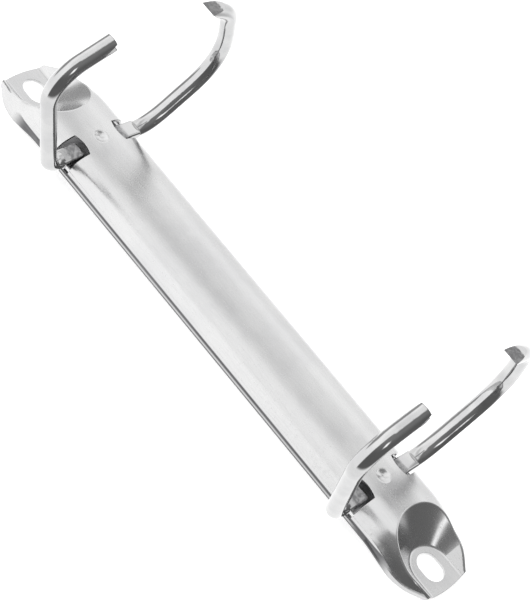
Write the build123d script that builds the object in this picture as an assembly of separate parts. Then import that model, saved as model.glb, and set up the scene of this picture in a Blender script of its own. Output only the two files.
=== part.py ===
from build123d import *
import math
import os

os.makedirs("parts", exist_ok=True)

# ---------------------------------------------------------------- dimensions
# X runs along the base, Y across it, Z up; the origin is the middle of the
# base at the level of the mounting surface. All lengths in mm.
PITCH = 80.0            # ring to ring
END_X = 61.45           # half length at the middle of the end edge
END_R = 23.7            # radius of the bowed end edge
HALF_W = 8.45           # half width over the side walls
CROWN = 6.4             # top of the arch
SHEET = 0.5             # sheet thickness of the cover
ARCH_P, ARCH_Q = 2.8, 4.5

RIM_Z = 2.1             # where the side wall runs into the rolled rim
RIM_R = 0.6             # outer radius of the rolled rim
RIM_OUT = 8.7           # half width over the rims
RIM_LIP = 0.12          # straight lip after the roll
RIM_END = 46.6          # rolled rims stop here, the formed ends begin
FOOT_DOWN = 53.5        # the end wall reaches the mounting plane here

SLOT_X = 56.7           # slot centre
SLOT_W = 4.4
SLOT_L = 5.8
SEAT_R = 4.1            # half width of the flat seat round the slot
SEAT_FLARE = 0.95       # widening of the scoop per mm of height
SEAT_BEND = 0.8         # bend radius between seat and scoop wall
RIDGE_R = 0.4           # rounding of the ridge round the scoop

NOTCH_L = 4.6           # notch along X
NOTCH_IN = 4.45         # inner corners of the notch
NOTCH_BOW = 0.5         # bow of the inner edge towards the middle
NOTCH_LOW = 2.3         # lower edge of the notch in the side wall
DIMPLE_R = 1.35
DIMPLE_D = 0.45
DIMPLE_LIP = 0.5        # rounding of the dimple's edge

PIV_Y, PIV_Z = 7.3, 2.76     # hinge lines of the two rails
TILT_OPEN = 4.0              # rails rise to the middle when open
SWING = 21.8                 # from open to closed
RAIL_T = 0.5
RAIL_X = 46.0                # half length
RAIL_OUT = 0.35              # beyond the hinge line
RAIL_IN = 7.15               # from hinge line to the middle edge
FINGER = 0.9                 # tongue length past the middle edge
FINGER_GAP = 0.35
TENON_R, TENON_HOLE = 0.90, 0.93
TENON_AT = 1.9               # tenon from the hinge line
HEAD_R, HEAD_T = 1.25, 0.4

WIRE_A, WIRE_B = 1.60, 1.50  # ring wire, nearly round: half width along X, depth of the outer half
WIRE_IN = 1.30               # depth of the flatter inner half
CENTRE = 0.88                # wire centre from the inside line of the ring and the foot top
FOOT_W = 3.3                 # flattened foot, along X
FOOT_T = 2.08
FOOT_Y = 4.4                 # a point of the foot top when open; the foot lies on the rail
FOOT_Z = PIV_Z + (RAIL_T / 2 + 0.004 + FOOT_T
                  + (PIV_Y - FOOT_Y) * math.sin(math.radians(TILT_OPEN))) / math.cos(math.radians(TILT_OPEN))
POST_Y = 10.07               # inside line of the straight post when closed
BAR_Z = 33.2                 # inside line of the top bar when closed
BAR_RISE = 2.2               # degrees
TIP_Y = 2.0                  # fork tip when closed
BEND_FOOT = 1.9              # bend radii of the inside line
BEND_TOP = 5.6
FORK_D, FORK_H = 2.6, 0.85   # V in the tip: depth and half opening
TIP_GAP = 0.6
# inside line of the curved half when closed, from the foot to the tip
CURVE = [(13.9, 12.9), (16.2, 19.5), (14.5, 25.9), (9.7, 31.2)]


def rad(a):
    return math.radians(a)


def rot(p, c, a):
    """turn point p about c by a degrees, in the Y-Z plane"""
    y, z = p[0] - c[0], p[1] - c[1]
    ca, sa = math.cos(rad(a)), math.sin(rad(a))
    return (c[0] + ca * y - sa * z, c[1] + sa * y + ca * z)


def at(x, pts):
    return [(x, p[0], p[1]) for p in pts]


# ------------------------------------------------------------------- cover
def arch(a, h, p, q, z0, n=12):
    """arch curve from (a, z0) over the crown to (-a, z0)"""
    t0 = math.asin(min(1.0, (z0 / h) ** (q / 2)))
    out = []
    for i in range(2 * n + 1):
        t = t0 + (math.pi - 2 * t0) * i / (2 * n)
        c, s = math.cos(t), math.sin(t)
        y = math.copysign(abs(c) ** (2 / p), c) * a if abs(c) > 1e-9 else 0.0
        out.append((y, h * s ** (2 / q)))
    return out


def inset(pts, d):
    """curve moved inwards by d"""
    out = []
    n = len(pts)
    for i, (y, z) in enumerate(pts):
        if i == 0:
            out.append((y - d, z))
            continue
        if i == n - 1:
            out.append((y + d, z))
            continue
        ty = pts[i + 1][0] - pts[i - 1][0]
        tz = pts[i + 1][1] - pts[i - 1][1]
        length = math.hypot(ty, tz)
        out.append((y - d * tz / length, z + d * ty / length))
    return out


def arch_tangents(a, h, p, q, z0):
    """directions of the arch curve at its two ends"""
    t = math.asin(min(1.0, (z0 / h) ** (q / 2)))
    c, s = math.cos(t), math.sin(t)
    dy = -a * (2 / p) * c ** (2 / p - 1) * s
    dz = h * (2 / q) * s ** (2 / q - 1) * c
    n = math.hypot(dy, dz)
    return [(0, dy / n, dz / n), (0, dy / n, -dz / n)]


def arch_spline(x, sec, d):
    """arch over one section, moved inwards by d, and its end points"""
    a, p, q, z0 = sec
    pts = arch(a, CROWN, p, q, z0)
    if d:
        pts = inset(pts, d)
    return Spline(*at(x, pts), tangents=arch_tangents(a, CROWN, p, q, z0)), pts[0], pts[-1]


MIDDLE = (HALF_W, ARCH_P, ARCH_Q, RIM_Z)


def rim_centre():
    """middle of the roll, which meets the end of the wall"""
    wall = arch(HALF_W, CROWN, ARCH_P, ARCH_Q, RIM_Z)[0][0]
    cy = RIM_OUT - RIM_R
    return cy, RIM_Z - math.sqrt(RIM_R ** 2 - (wall - cy) ** 2)


def middle_section(x):
    over, o0, o1 = arch_spline(x, MIDDLE, 0)
    under, i0, i1 = arch_spline(x, MIDDLE, SHEET)

    def rim(o, i):
        """closed roll standing proud of the wall"""
        s = 1 if o[0] > 0 else -1
        cy, z = rim_centre()
        oe = (s * (cy - RIM_R), z)
        lo = (oe[0], z + RIM_LIP)
        return [
            ThreePointArc(*at(x, [o, (s * cy, z - RIM_R), oe])),
            Line(*at(x, [oe, lo])),
            Line(*at(x, [lo, i])),
        ]

    return Face(Wire([over, under] + rim(o0, i0) + rim(o1, i1)))


# end sections: position, half width at the wall, at the foot, shape exponents,
# height where the arch ends in the straight foot
ENDS = [
    (RIM_END, HALF_W, HALF_W - 0.15, ARCH_P, ARCH_Q, RIM_Z),
    (47.6, HALF_W, HALF_W - 0.15, ARCH_P - 0.01, ARCH_Q - 0.04, RIM_Z),
    (48.8, 8.45, 8.32, 2.72, 4.15, 1.95),
    (50.4, 8.44, 8.36, 2.55, 3.5, 1.65),
    (52.2, 8.42, 8.40, 2.3, 2.75, 1.3),
    (54.0, 8.34, 8.34, 2.05, 2.1, 1.0),
    (56.0, 7.95, 7.95, 2.0, 2.0, 0.85),
    (57.6, 7.3, 7.3, 2.0, 2.0, 0.8),
    (59.2, 6.3, 6.3, 2.0, 2.0, 0.8),
    (60.6, 5.45, 5.45, 2.0, 2.0, 0.8),
    (62.2, 4.75, 4.75, 2.0, 2.0, 0.8),
]


def end_loft(inner):
    secs = []
    for x, a, foot, p, q, z0 in ENDS:
        d = SHEET * (1.0 if x < 55 else 1.22) if inner else 0.0
        over, r, l = arch_spline(x, (a, p, q, z0), d)
        z = -2.0 if inner else -0.5
        lo = [(-foot + d, z), (foot - d, z)]
        secs.append(Face(Wire([
            over,
            Line(*at(x, [l, lo[0]])),
            Line(*at(x, lo)),
            Line(*at(x, [lo[1], r])),
        ])))
    return loft(secs)


def scoop(floor_z, grow, bend):
    """bowl round the slot, running out through the end"""
    top = CROWN + 2.5
    k = math.atan2(1.0, SEAT_FLARE)
    r0 = SEAT_R + grow
    tl = bend * math.tan(k / 2)
    a = (r0 - tl, floor_z)
    b = (r0 + tl * math.cos(k), floor_z + tl * math.sin(k))
    c = (r0 - tl, floor_z + bend)
    m = (c[0] + bend * math.sin(k / 2), c[1] - bend * math.cos(k / 2))
    e = (r0 + SEAT_FLARE * (top - floor_z), top)

    def P(p):
        return (SLOT_X, p[0], p[1])

    half = Face(Wire([
        Line(P((0, floor_z)), P(a)),
        ThreePointArc(P(a), P(m), P(b)),
        Line(P(b), P(e)),
        Line(P(e), P((0, top))),
        Line(P((0, top)), P((0, floor_z))),
    ]))
    bowl = revolve(half, Axis((SLOT_X, 0, 0), (0, 0, 1)), 360)
    run = extrude(half, amount=8.0, dir=(1, 0, 0))
    run += mirror(run, Plane.XZ)
    return bowl + run


def offset_grow():
    """floor radius growth that keeps the scoop wall one sheet thick"""
    k = math.atan2(1.0, SEAT_FLARE)
    return SHEET * math.tan(k / 2)


def cover_end():
    body = end_loft(False)
    core = end_loft(True)
    inner = scoop(SHEET, 0.0, SEAT_BEND)
    outer = scoop(0.0, offset_grow(), SEAT_BEND + SHEET)
    trim = Pos(END_X - END_R, 0, 10) * Cylinder(END_R, 20)
    block = (body - inner) & trim
    # rounded ridge where the arch turns down into the scoop
    ridge = [e for e in block.edges().filter_by(GeomType.BSPLINE)
             if e.bounding_box().min.X > RIM_END + 0.1
             and e.bounding_box().min.Z > 0.9 and e.bounding_box().max.Z > 1.6]
    block = fillet(ridge, RIDGE_R)
    shell = block - (core - outer)
    # the foot of the wall comes down from the rim to the mounting plane
    cy, cz = rim_centre()
    low = cz - RIM_R + 0.1
    ramp = Face(Wire(Polyline((RIM_END - 1, 0, low), (RIM_END, 0, low),
                              (FOOT_DOWN, 0, 0), (FOOT_DOWN, 0, -1), (RIM_END - 1, 0, -1),
                              close=True)))
    shell -= extrude(ramp, amount=20, dir=(0, 1, 0), both=True)
    # the roll runs out along the foot
    for t in (1, -1):
        shell += loft([
            Plane(origin=(RIM_END, t * cy, cz), x_dir=(0, 1, 0), z_dir=(1, 0, 0)) * Circle(RIM_R),
            Plane(origin=(FOOT_DOWN, t * (cy - 0.15), 0.42), x_dir=(0, 1, 0), z_dir=(1, 0, 0)) * Circle(0.36),
        ])
    slot = Pos(SLOT_X, 0, 0) * extrude(SlotOverall(SLOT_L, SLOT_W), amount=3, both=True)
    return shell - slot


def notch(sx, sy):
    h = NOTCH_L / 2
    yi, yo = NOTCH_IN, HALF_W + 3
    f = Face(Wire([
        ThreePointArc((h, yi, 0), (0, yi - NOTCH_BOW, 0), (-h, yi, 0)),
        Line((-h, yi, 0), (-h, yo, 0)),
        Line((-h, yo, 0), (h, yo, 0)),
        Line((h, yo, 0), (h, yi, 0)),
    ]))
    if sy < 0:
        f = mirror(f, Plane.XZ)
    return Pos(sx * PITCH / 2, 0, NOTCH_LOW) * extrude(f, amount=10, dir=(0, 0, 1))


def cover():
    mid = extrude(middle_section(-RIM_END), amount=2 * RIM_END, dir=(1, 0, 0))
    end = cover_end()
    plate = mid + end + mirror(end, Plane.YZ)
    r = (DIMPLE_R ** 2 + DIMPLE_D ** 2) / (2 * DIMPLE_D)
    for s in (1, -1):
        for t in (1, -1):
            plate -= notch(s, t)
        zc = CROWN - DIMPLE_D + r
        boss = Pos(s * PITCH / 2, 0, zc) * Sphere(r + SHEET)
        boss &= Pos(s * PITCH / 2, 0, CROWN - SHEET - 0.6) * Box(9, 9, 1.8)
        boss &= Pos(s * PITCH / 2, 0, 0) * Cylinder(DIMPLE_R + 0.5, 30)
        plate += boss
        plate -= Pos(s * PITCH / 2, 0, zc) * Sphere(r)
    lips = [e for e in plate.edges().filter_by(GeomType.BSPLINE)
            if abs(abs(e.bounding_box().center().X) - PITCH / 2) < 0.1
            and abs(e.bounding_box().center().Y) < 0.1 and e.bounding_box().min.Z > CROWN - 0.2]
    return fillet(lips, DIMPLE_LIP)


# ------------------------------------------------------------------- rails
FINGERS = {1: [-24.0, 0.0, 24.0], -1: [-12.0, 12.0]}
FINGER_L = 7.0


def rail(s):
    """s = -1 rail on the post side, +1 rail on the curved side; built flat
    with the hinge line at y = 0 and the middle edge towards -y (s=1)"""
    half = Face(Wire([
        Line((0, RAIL_OUT - RAIL_T / 2, -RAIL_T / 2), (0, -RAIL_IN, -RAIL_T / 2)),
        Line((0, -RAIL_IN, -RAIL_T / 2), (0, -RAIL_IN, RAIL_T / 2)),
        Line((0, -RAIL_IN, RAIL_T / 2), (0, RAIL_OUT - RAIL_T / 2, RAIL_T / 2)),
        ThreePointArc((0, RAIL_OUT - RAIL_T / 2, RAIL_T / 2), (0, RAIL_OUT, 0),
                      (0, RAIL_OUT - RAIL_T / 2, -RAIL_T / 2)),
    ]))
    body = Pos(-RAIL_X, 0, 0) * extrude(half, amount=2 * RAIL_X, dir=(1, 0, 0))
    for x in FINGERS[s]:
        body += Pos(x, -RAIL_IN - FINGER / 2 + 0.5, 0) * Box(FINGER_L, FINGER + 1.0, RAIL_T)
    for x in FINGERS[-s]:
        w = FINGER_L + 2 * FINGER_GAP
        d = FINGER + FINGER_GAP
        body -= Pos(x, -RAIL_IN + d / 2 - 0.5, 0) * Box(w, d + 1.0, 3)
    # rounded corners at the four ends of the strip
    body = fillet(body.edges().filter_by(Axis.Z).filter_by(
        lambda e: abs(abs(e.center().X) - RAIL_X) < 0.01), 1.2)
    for x in (PITCH / 2, -PITCH / 2):
        body -= Pos(x, -TENON_AT, 0) * Cylinder(TENON_HOLE, 4)
    body = Rot(-TILT_OPEN, 0, 0) * body
    if s < 0:
        body = mirror(body, Plane.XZ)
    return Pos(0, s * PIV_Y, PIV_Z) * body


# ------------------------------------------------------------- half rings
def wire_section(start, tangent, inner):
    """oval of two half ellipses; inner = side of the flatter one"""
    pl = Plane(origin=(0, start[0], start[1]), x_dir=(1, 0, 0),
               z_dir=(0, tangent[0], tangent[1]))
    up, down = (WIRE_IN, WIRE_B) if inner > 0 else (WIRE_B, WIRE_IN)
    c = Ellipse(WIRE_A, up) & (Pos(0, 2, 0) * Rectangle(6, 4))
    c += Ellipse(WIRE_A, down) & (Pos(0, -2, 0) * Rectangle(6, 4))
    return pl * c


def unit(v):
    n = math.hypot(*v)
    return (v[0] / n, v[1] / n)


def foot_parts(s, inner_end, outer_end, tilt):
    """flattened foot with the tenon, closed position; top face on the line
    from inner_end to outer_end"""
    length = math.hypot(outer_end[0] - inner_end[0], outer_end[1] - inner_end[1])
    b = Pos(0, -length / 2, -FOOT_T / 2) * Box(FOOT_W, length, FOOT_T)
    b = fillet(b.edges().filter_by(Axis.Y).group_by(Axis.Z)[0], 0.7)
    b = fillet(b.edges().filter_by(Axis.Z).group_by(Axis.Y)[0], 0.5)
    b = fillet(b.edges().filter_by(Axis.Y).group_by(Axis.Z)[-1], 0.4)
    return b, length


def place_foot(s, body, outer_end, tilt):
    """foot built with its outer end at the origin reaching to -y"""
    body = Rot(tilt, 0, 0) * body
    if s < 0:
        body = mirror(body, Plane.XZ)
    return Pos(0, outer_end[0], outer_end[1]) * body


def tenon(s):
    """tenon and peened head under the rail, open position"""
    t = Pos(0, -TENON_AT, RAIL_T / 2 - (RAIL_T + 0.2) / 2 + 0.2) * Cylinder(TENON_R, RAIL_T + 0.2 + 0.2)
    h = Pos(0, -TENON_AT, -RAIL_T / 2 - HEAD_T / 2) * Cylinder(HEAD_R, HEAD_T)
    h = fillet(h.edges().group_by(Axis.Z)[0], 0.25)
    body = Rot(-TILT_OPEN, 0, 0) * (t + h)
    if s < 0:
        body = mirror(body, Plane.XZ)
    return Pos(0, s * PIV_Y, PIV_Z) * body


TILT_CLOSED = SWING - TILT_OPEN
# a point of the foot top, closed, on the positive side
FOOT_C = rot((FOOT_Y, FOOT_Z), (PIV_Y, PIV_Z), SWING)
FOOT_DIR = (math.cos(rad(TILT_CLOSED)), math.sin(rad(TILT_CLOSED)))


def foot_at(y):
    return (y, FOOT_C[1] + (y - FOOT_C[0]) * FOOT_DIR[1] / FOOT_DIR[0])


FOOT_IN = FOOT_C[0] + 0.25


def fillet_path(pts, radii):
    """edges of a polyline in the Y-Z plane with rounded corners"""
    out = []
    last = pts[0]
    for i in range(1, len(pts) - 1):
        p, a, b = pts[i], pts[i - 1], pts[i + 1]
        u, v = unit((a[0] - p[0], a[1] - p[1])), unit((b[0] - p[0], b[1] - p[1]))
        ang = math.acos(u[0] * v[0] + u[1] * v[1])
        r = radii[i - 1]
        tl = r / math.tan(ang / 2)
        s, e = (p[0] + u[0] * tl, p[1] + u[1] * tl), (p[0] + v[0] * tl, p[1] + v[1] * tl)
        w = unit((u[0] + v[0], u[1] + v[1]))
        dist = r / math.sin(ang / 2) - r
        m = (p[0] + w[0] * dist, p[1] + w[1] * dist)
        out.append(Line(*at(0, [last, s])))
        out.append(ThreePointArc(*at(0, [s, m, e])))
        last = e
    out.append(Line(*at(0, [last, pts[-1]])))
    return out


def prism(pts):
    n = len(pts)
    f = Face(Wire([Line(*at(0, [pts[i], pts[(i + 1) % n]])) for i in range(n)]))
    return extrude(f, amount=6, dir=(1, 0, 0)) + extrude(f, amount=-6, dir=(1, 0, 0))


BAR_DIR = (math.cos(rad(BAR_RISE)), math.sin(rad(BAR_RISE)))
TIP_Z = BAR_Z + (TIP_Y + POST_Y) * math.tan(rad(BAR_RISE))
MID_T = (WIRE_B - WIRE_IN) / 2     # middle of the wire thickness from the wire centre


def post_half():
    """half ring with the straight post, closed position"""
    f0 = foot_at(FOOT_IN)
    f1 = foot_at(POST_Y)
    foot_in, corner = (-f0[0], f0[1]), (-f1[0], f1[1])
    top = (-POST_Y, BAR_Z)
    tip = (TIP_Y, TIP_Z)
    # move the inside line outwards to the wire centre
    d = CENTRE
    n_foot = (-FOOT_DIR[1], -FOOT_DIR[0])
    n_bar = (-BAR_DIR[1], BAR_DIR[0])
    y_post = -POST_Y - d

    def on_foot(y):
        p = (foot_in[0] + n_foot[0] * d, foot_in[1] + n_foot[1] * d)
        return (y, p[1] - (y - p[0]) * FOOT_DIR[1] / FOOT_DIR[0])

    def on_bar(y):
        p = (top[0] + n_bar[0] * d, top[1] + n_bar[1] * d)
        return (y, p[1] + (y - p[0]) * BAR_DIR[1] / BAR_DIR[0])

    start = on_foot(-PIV_Y - 0.9)
    path = [start, on_foot(y_post), on_bar(y_post), on_bar(TIP_Y)]
    wire = Wire(fillet_path(path, [BEND_FOOT + d, BEND_TOP + d]))
    body = sweep(wire_section(start, (-FOOT_DIR[0], FOOT_DIR[1]), 1), path=wire)
    # foot
    oe = (-PIV_Y - 1.0, foot_at(PIV_Y + 1.0)[1])
    b, _ = foot_parts(-1, foot_in, oe, TILT_CLOSED)
    body += place_foot(-1, b, oe, TILT_CLOSED)
    # square end and fork
    zc = on_bar(TIP_Y)[1] + MID_T
    body -= prism([(TIP_Y - FORK_D, zc - MID_T * 0), (TIP_Y + 0.6, zc + FORK_H * (FORK_D + 0.6) / FORK_D),
                   (TIP_Y + 0.6, zc - FORK_H * (FORK_D + 0.6) / FORK_D)])
    return body


def curve_half():
    """half ring with the curved side, closed position"""
    d = CENTRE
    f_in, f_out = foot_at(FOOT_IN), foot_at(PIV_Y + 0.9)
    n_foot = (FOOT_DIR[1], -FOOT_DIR[0])
    start = (f_out[0] + n_foot[0] * d, f_out[1] + n_foot[1] * d)
    zt = TIP_Z + (-BAR_DIR[1]) * 0
    tip_y = TIP_Y + TIP_GAP
    zc_bar = BAR_Z + (tip_y + POST_Y) * math.tan(rad(BAR_RISE))
    tip = (tip_y - BAR_DIR[1] * d, zc_bar + BAR_DIR[0] * d)
    inner = [f_out] + CURVE + [(tip_y, zt)]
    pts = [start]
    for i in range(1, len(inner) - 1):
        t = unit((inner[i + 1][0] - inner[i - 1][0], inner[i + 1][1] - inner[i - 1][1]))
        pts.append((inner[i][0] + t[1] * d, inner[i][1] - t[0] * d))
    pts.append(tip)
    lead = FORK_D
    end = (tip[0] - lead, tip[1])
    path = Wire([
        Spline(*at(0, pts), tangents=[(0, FOOT_DIR[0], FOOT_DIR[1]), (0, -1, 0)]),
        Line(*at(0, [tip, end])),
    ])
    body = sweep(wire_section(start, FOOT_DIR, -1), path=path)
    oe = foot_at(PIV_Y + 1.0)
    b, _ = foot_parts(1, f_in, oe, TILT_CLOSED)
    body += place_foot(1, b, oe, TILT_CLOSED)
    # wedge tip
    zc = tip[1] + MID_T
    ax = tip_y - FORK_D
    ext = 2.2            # the faces of the wedge run out on the round of the wire
    run = FORK_H * (FORK_D + ext) / FORK_D
    for s in (1, -1):
        body -= prism([(ax, zc), (ax, zc + s * 4), (tip_y + ext, zc + s * 4), (tip_y + ext, zc + s * run)])
        body -= prism([(ax, zc), (ax - 3, zc), (ax - 3, zc + s * 4), (ax, zc + s * 4)])
    return body


def opened(body, s):
    """turn a half ring from closed to open about its hinge line"""
    p = Pos(0, s * PIV_Y, PIV_Z)
    return p * (Rot(-s * SWING, 0, 0) * (Pos(0, -s * PIV_Y, -PIV_Z) * body))


# ------------------------------------------------------------------ build
def one(shape):
    s = shape.solids()
    return max(s, key=lambda b: b.volume)


if __name__ == "__main__":
    nodes = {}
    nodes["cover_plate"] = one(cover())
    nodes["left_rail"] = one(rail(-1))
    nodes["right_rail"] = one(rail(1))
    post = one(opened(post_half(), -1) + tenon(-1))
    curve = one(opened(curve_half(), 1) + tenon(1))
    nodes["left_ring_far"] = Pos(-PITCH / 2, 0, 0) * post
    nodes["left_ring_near"] = Pos(PITCH / 2, 0, 0) * post
    nodes["right_ring_far"] = Pos(-PITCH / 2, 0, 0) * curve
    nodes["right_ring_near"] = Pos(PITCH / 2, 0, 0) * curve
    for name, shape in nodes.items():
        export_step(shape, "parts/" + name + ".step")
        b = shape.bounding_box()
        print(name, round(shape.volume, 2), len(shape.solids()), shape.is_valid,
              [round(v, 2) for v in (b.min.X, b.min.Y, b.min.Z, b.max.X, b.max.Y, b.max.Z)])
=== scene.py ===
import bpy
import math
from mathutils import Matrix, Vector

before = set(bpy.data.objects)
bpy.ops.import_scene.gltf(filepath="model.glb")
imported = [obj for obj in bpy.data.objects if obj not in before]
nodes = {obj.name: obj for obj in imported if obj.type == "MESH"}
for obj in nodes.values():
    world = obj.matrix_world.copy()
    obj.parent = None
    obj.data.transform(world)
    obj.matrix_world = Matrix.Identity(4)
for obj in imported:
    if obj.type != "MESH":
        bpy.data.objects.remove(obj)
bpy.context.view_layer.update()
scene = bpy.context.scene
MM = 0.001


# ------------------------------------------------------------ node helpers
class Graph:
    """short hand for building node trees"""

    def __init__(self, tree):
        self.tree = tree
        tree.nodes.clear()

    def add(self, kind, **props):
        n = self.tree.nodes.new(kind)
        for k, v in props.items():
            setattr(n, k, v)
        return n

    def put(self, sock, value):
        if isinstance(value, bpy.types.NodeSocket):
            self.tree.links.new(value, sock)
        else:
            sock.default_value = value

    def math(self, op, a, b=None, c=None, clamp=False):
        n = self.add("ShaderNodeMath", operation=op, use_clamp=clamp)
        for i, v in enumerate((a, b, c)):
            if v is not None:
                self.put(n.inputs[i], v)
        return n.outputs[0]

    def step(self, v, lo, hi, to_lo=0.0, to_hi=1.0):
        n = self.add("ShaderNodeMapRange", interpolation_type="SMOOTHSTEP")
        self.put(n.inputs["Value"], v)
        n.inputs["From Min"].default_value = lo
        n.inputs["From Max"].default_value = hi
        n.inputs["To Min"].default_value = to_lo
        n.inputs["To Max"].default_value = to_hi
        return n.outputs[0]

    def window(self, v, lo, hi, soft_lo, soft_hi=None):
        soft_hi = soft_lo if soft_hi is None else soft_hi
        up = self.step(v, lo - soft_lo, lo + soft_lo)
        down = self.step(v, hi - soft_hi, hi + soft_hi, 1.0, 0.0)
        return self.math("MULTIPLY", up, down)

    def lerp(self, f, a, b):
        n = self.add("ShaderNodeMix", data_type="FLOAT")
        self.put(n.inputs[0], f)
        self.put(n.inputs[2], a)
        self.put(n.inputs[3], b)
        return n.outputs[0]

    def colour(self, f, a, b):
        n = self.add("ShaderNodeMix", data_type="RGBA")
        self.put(n.inputs[0], f)
        self.put(n.inputs[6], a if isinstance(a, bpy.types.NodeSocket) else (*a, 1.0))
        self.put(n.inputs[7], b if isinstance(b, bpy.types.NodeSocket) else (*b, 1.0))
        return n.outputs[2]

    def noise(self, vec, scale, detail=3.0, rough=0.5, distort=0.0):
        n = self.add("ShaderNodeTexNoise", noise_dimensions="3D")
        self.put(n.inputs["Vector"], vec)
        n.inputs["Scale"].default_value = scale
        n.inputs["Detail"].default_value = detail
        n.inputs["Roughness"].default_value = rough
        n.inputs["Distortion"].default_value = distort
        return n.outputs["Fac"]

    def stretch(self, vec, sx, sy, sz):
        n = self.add("ShaderNodeMapping")
        self.put(n.inputs["Vector"], vec)
        n.inputs["Scale"].default_value = (sx, sy, sz)
        return n.outputs[0]

    def bump(self, height, distance, strength, normal=None):
        n = self.add("ShaderNodeBump")
        n.inputs["Strength"].default_value = strength
        n.inputs["Distance"].default_value = distance
        self.put(n.inputs["Height"], height)
        if normal is not None:
            self.put(n.inputs["Normal"], normal)
        return n.outputs[0]


def new_material(name):
    m = bpy.data.materials.new(name)
    m.use_nodes = True
    return m, Graph(m.node_tree)


def surface(g, colour, rough, normal, metallic=1.0):
    p = g.add("ShaderNodeBsdfPrincipled")
    g.put(p.inputs["Base Color"], colour)
    p.inputs["Metallic"].default_value = metallic
    g.put(p.inputs["Roughness"], rough)
    g.put(p.inputs["Normal"], normal)
    o = g.add("ShaderNodeOutputMaterial")
    g.tree.links.new(p.outputs[0], o.inputs[0])
    return p


# --------------------------------------------------------------- materials
def plated_cover():
    """bright nickel on rolled sheet: satin sheen, drawn lines along X, painted shade along the rolled rim"""
    m, g = new_material("cover_plated")
    co = g.add("ShaderNodeTexCoord").outputs["Object"]
    cloud = g.noise(co, 90.0, 3.0, 0.55)
    drawn = g.noise(g.stretch(co, 60.0, 2600.0, 2600.0), 1.0, 4.0, 0.6)
    fine = g.noise(g.stretch(co, 400.0, 9000.0, 9000.0), 1.0, 2.0, 0.5)
    speck = g.noise(co, 3200.0, 2.0, 0.5)
    rough = g.math("MULTIPLY_ADD", g.step(cloud, 0.35, 0.65), 0.05, 0.17)
    rough = g.math("MULTIPLY_ADD", drawn, 0.06, rough)
    rough = g.math("MULTIPLY_ADD", g.step(speck, 0.62, 0.74), 0.10, rough)
    tone = g.step(cloud, 0.3, 0.7)
    colour = g.colour(tone, (0.60, 0.60, 0.605), (0.66, 0.66, 0.66))
    colour = g.colour(g.math("MULTIPLY", g.step(fine, 0.45, 0.75), 0.35), colour, (0.52, 0.52, 0.525))
    sep = g.add("ShaderNodeSeparateXYZ")
    g.put(sep.inputs[0], co)
    ay, z = g.math("ABSOLUTE", sep.outputs[1]), sep.outputs[2]
    # painted shade: the side strip below 2.4 mm is coloured near black. It is strongest in the groove, under the bead
    # and towards the ends, and stands in for shade and dark reflections along the rolled rim.
    groove = g.window(z, 1.95 * MM, 2.45 * MM, 0.12 * MM)
    under = g.step(z, 1.58 * MM, 1.85 * MM, 1.0, 0.0)
    ax = g.math("ABSOLUTE", sep.outputs[0])
    bead = g.math("MULTIPLY", g.step(z, 2.40 * MM, 2.55 * MM, 1.0, 0.0), g.step(ax, 42.0 * MM, 45.0 * MM, 0.25, 0.95))
    rim_painted_shade = g.math("MAXIMUM", g.math("MAXIMUM", groove, under), bead)
    rim_painted_shade = g.math("MULTIPLY", rim_painted_shade, g.step(ay, 8.0 * MM, 8.2 * MM))
    rim_painted_shade = g.math("MULTIPLY", rim_painted_shade, g.step(ax, 50.0 * MM, 54.0 * MM, 1.0, 0.0))
    colour = g.colour(g.math("MULTIPLY", rim_painted_shade, g.math("MULTIPLY_ADD", cloud, 0.3, 0.7)), colour, (0.10, 0.10, 0.105))
    rough = g.lerp(rim_painted_shade, rough, 0.45)
    bev = g.add("ShaderNodeBevel", samples=6)
    bev.inputs["Radius"].default_value = 0.12 * MM
    n = g.bump(g.math("MULTIPLY_ADD", drawn, 0.7, g.math("MULTIPLY", fine, 0.3)), 0.004 * MM, 0.35, bev.outputs[0])
    n = g.bump(g.noise(co, 420.0, 2.0, 0.5), 0.01 * MM, 0.25, n)
    surface(g, colour, rough, n)
    return m


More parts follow.
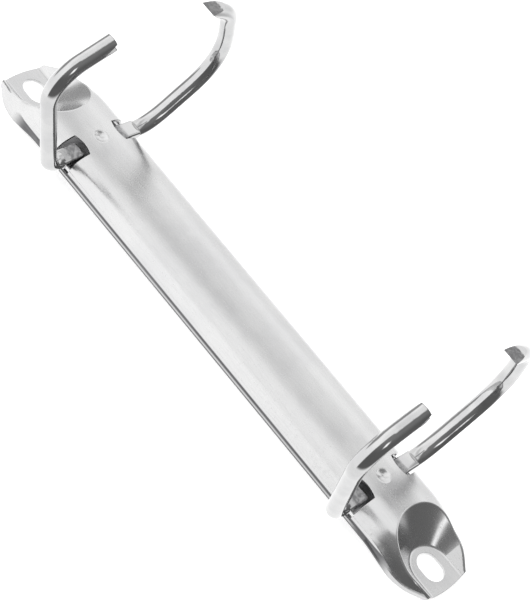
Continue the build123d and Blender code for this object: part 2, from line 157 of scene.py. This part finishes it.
def plated_ring(name, side):
    """polished nickel on drawn wire; sheared tip and flattened foot are dull, and their colour is darkened as painted
    shade
    """
    m, g = new_material(name)
    tex = g.add("ShaderNodeTexCoord")
    co = tex.outputs["Object"]
    sep = g.add("ShaderNodeSeparateXYZ")
    g.put(sep.inputs[0], co)
    x, y, z = sep.outputs
    ay = g.math("ABSOLUTE", y)
    reach = 8.0 if side == "left" else 6.2
    foot = g.math("MULTIPLY", g.step(ay, (reach - 0.7) * MM, (reach + 0.4) * MM, 1.0, 0.0),
                  g.step(z, 8.0 * MM, 9.0 * MM, 1.0, 0.0))
    grain = g.noise(co, 1500.0, 5.0, 0.65)
    # sheared end: measured along the ring's own length, turned with the open ring
    turn = SWING_COS, (SWING_SIN if side == "left" else -SWING_SIN)
    along = g.math("MULTIPLY_ADD", y, turn[0], g.math("MULTIPLY", z, turn[1]))
    if side == "left":
        tip = g.step(along, 3.35 * MM, 3.47 * MM)
    else:
        facing = None
        for face in ((0.0, 0.064, 0.998), (0.0, -0.641, -0.767)):
            d = g.add("ShaderNodeVectorMath", operation="DOT_PRODUCT")
            g.put(d.inputs[0], tex.outputs["Normal"])
            d.inputs[1].default_value = face
            f = g.step(d.outputs["Value"], 0.965, 0.985)
            facing = f if facing is None else g.math("MAXIMUM", facing, f)
        ragged = g.math("MULTIPLY_ADD", grain, 1.6 * MM, along)
        tip = g.math("MULTIPLY", g.step(ragged, 2.0 * MM, 2.3 * MM, 1.0, 0.0), facing)
    tip = g.math("MULTIPLY", tip, g.step(z, 31.0 * MM, 31.6 * MM))
    dull_and_painted_shade = g.math("MAXIMUM", foot, tip)
    lines = g.noise(g.stretch(co, 2800.0, 160.0, 160.0), 1.0, 4.0, 0.6)
    cloud = g.noise(co, 260.0, 3.0, 0.5)
    rough = g.math("MULTIPLY_ADD", g.step(cloud, 0.35, 0.7), 0.04, 0.05)
    rough = g.math("MULTIPLY_ADD", lines, 0.04, rough)
    rough = g.lerp(dull_and_painted_shade, rough, g.math("MULTIPLY_ADD", grain, 0.25, 0.30))
    colour = g.colour(g.step(cloud, 0.3, 0.7), (0.50, 0.50, 0.505), (0.57, 0.57, 0.57))
    # painted shade: the foot in the notch is coloured dark grey and the sheared tip facets near black, standing in
    # for shade in the recess and dark reflections. The raised roughness and grain bump there are the real dull
    # finish.
    painted_shade_colour = g.colour(g.step(grain, 0.4, 0.62), (0.16, 0.16, 0.165), (0.40, 0.40, 0.405))
    painted_shade_colour = g.colour(g.math("MULTIPLY", tip, 0.5), painted_shade_colour, (0.06, 0.06, 0.062))
    colour = g.colour(g.math("MULTIPLY", dull_and_painted_shade, 0.85), colour, painted_shade_colour)
    bev = g.add("ShaderNodeBevel", samples=6)
    bev.inputs["Radius"].default_value = 0.15 * MM
    n = g.bump(lines, 0.004 * MM, 0.3, bev.outputs[0])
    n = g.bump(g.math("MULTIPLY", grain, dull_and_painted_shade), 0.05 * MM, 0.6, n)
    surface(g, colour, rough, n)
    return m


def rail_steel():
    """plain plated strip steel, rolled lines along X"""
    m, g = new_material("rail_steel")
    co = g.add("ShaderNodeTexCoord").outputs["Object"]
    drawn = g.noise(g.stretch(co, 80.0, 3000.0, 3000.0), 1.0, 4.0, 0.6)
    cloud = g.noise(co, 140.0, 4.0, 0.6)
    rough = g.math("MULTIPLY_ADD", cloud, 0.12, g.math("MULTIPLY_ADD", drawn, 0.10, 0.24))
    colour = g.colour(g.step(cloud, 0.3, 0.7), (0.44, 0.44, 0.45), (0.54, 0.54, 0.545))
    bev = g.add("ShaderNodeBevel", samples=6)
    bev.inputs["Radius"].default_value = 0.08 * MM
    surface(g, colour, rough, g.bump(drawn, 0.006 * MM, 0.4, bev.outputs[0]))
    return m


SWING_COS, SWING_SIN = math.cos(math.radians(21.8)), math.sin(math.radians(21.8))

cover_mat = plated_cover()
rail_mat = rail_steel()
left_mat = plated_ring("ring_plated_post", "left")
right_mat = plated_ring("ring_plated_curve", "right")
for name, obj in nodes.items():
    mat = cover_mat if name == "cover_plate" else rail_mat if name.endswith("rail") else \
        left_mat if name.startswith("left_ring") else right_mat
    obj.data.materials.clear()
    obj.data.materials.append(mat)

# ------------------------------------------------------------------- floor
bpy.ops.mesh.primitive_plane_add(size=4.0, location=(0, 0, -0.02 * MM))
floor = bpy.context.object
floor.name = "floor"
fm, g = new_material("floor_pale")
co = g.add("ShaderNodeTexCoord").outputs["Object"]
p = surface(g, g.colour(g.noise(co, 8.0, 2.0), (0.93, 0.93, 0.93), (0.95, 0.95, 0.95)), 0.9,
            g.bump(g.noise(co, 900.0, 2.0), 0.01 * MM, 0.05), 0.0)
p.inputs["Specular IOR Level"].default_value = 0.0
p.inputs["Emission Color"].default_value = (1.0, 1.0, 1.0, 1.0)
p.inputs["Emission Strength"].default_value = 0.48
floor.data.materials.append(fm)
floor.visible_glossy = False

# ------------------------------------------------------------ studio light
world = bpy.data.worlds.new("studio")
scene.world = world
world.use_nodes = True
g = Graph(world.node_tree)
sep = g.add("ShaderNodeSeparateXYZ")
g.put(sep.inputs[0], g.add("ShaderNodeTexCoord").outputs["Generated"])
wx, wy, wz = sep.outputs
el = g.math("MULTIPLY", g.math("ARCSINE", wz), 180 / math.pi)
az = g.math("MULTIPLY", g.math("ARCTAN2", wy, wx), 180 / math.pi)
# pale tent: brightest low on the left, softer towards the back, open and dark
# on the viewer's side, with a narrow lamp standing in the opening
light = g.lerp(g.step(el, 40.0, 62.0), 1.12, 0.99)
light = g.lerp(g.step(el, -48.0, -36.0, 1.0, 0.0), light, 1.03)
back = g.math("MULTIPLY", g.window(el, 44.0, 62.0, 9.0), g.window(az, 50.0, 165.0, 25.0))
light = g.lerp(back, light, 0.66)
right = g.math("MULTIPLY", g.window(el, -10.0, 34.0, 8.0), g.window(az, 70.0, 160.0, 15.0))
light = g.lerp(right, light, 0.90)
painted_shade_colour = g.math("MULTIPLY", g.window(el, -38.0, 80.5, 6.0, 5.0), g.window(az, -91.0, 58.0, 5.0, 12.0))
light = g.lerp(painted_shade_colour, light, g.step(el, 10.0, 60.0, 0.13, 0.22))
far = g.math("MULTIPLY", g.window(el, -8.0, 22.0, 4.0), g.step(wx, -0.93, -0.84, 1.0, 0.0))
light = g.lerp(far, light, 0.34)
lamp = g.math("MULTIPLY", g.window(el, 24.0, 42.0, 4.0), g.window(az, -34.0, -20.0, 3.0))
light = g.lerp(lamp, light, 1.5)
bg = g.add("ShaderNodeBackground")
bg.inputs["Color"].default_value = (1.0, 1.0, 1.0, 1.0)
g.put(bg.inputs["Strength"], light)
out = g.add("ShaderNodeOutputWorld")
g.tree.links.new(bg.outputs[0], out.inputs[0])

scene.view_settings.view_transform = "Standard"
scene.view_settings.exposure = 0.35

# ------------------------------------------------------------------ camera
RIGHT = Vector((0.6215506550, 0.6797455073, 0.3893851931))
DOWN = Vector((0.7535683937, -0.3830027938, -0.5342691606))
FORWARD = Vector((-0.2140314448, 0.6255037212, -0.7502903674))
EYE = Vector((77.98534, -199.21097, 234.94888)) * MM
FOCAL = 1779.8          # pixels, image 530 x 600
cam_data = bpy.data.cameras.new("camera")
cam = bpy.data.objects.new("camera", cam_data)
scene.collection.objects.link(cam)
cam.matrix_world = Matrix((
    (RIGHT.x, -DOWN.x, -FORWARD.x, EYE.x),
    (RIGHT.y, -DOWN.y, -FORWARD.y, EYE.y),
    (RIGHT.z, -DOWN.z, -FORWARD.z, EYE.z),
    (0, 0, 0, 1),
))
cam_data.sensor_fit = "AUTO"
cam_data.sensor_width = 36.0
cam_data.lens = FOCAL * 36.0 / 600.0
cam_data.shift_x = 14.54 / 600.0
cam_data.shift_y = 74.92 / 600.0
cam_data.clip_start = 0.005
cam_data.clip_end = 10.0
cam_data.dof.use_dof = False
scene.camera = cam
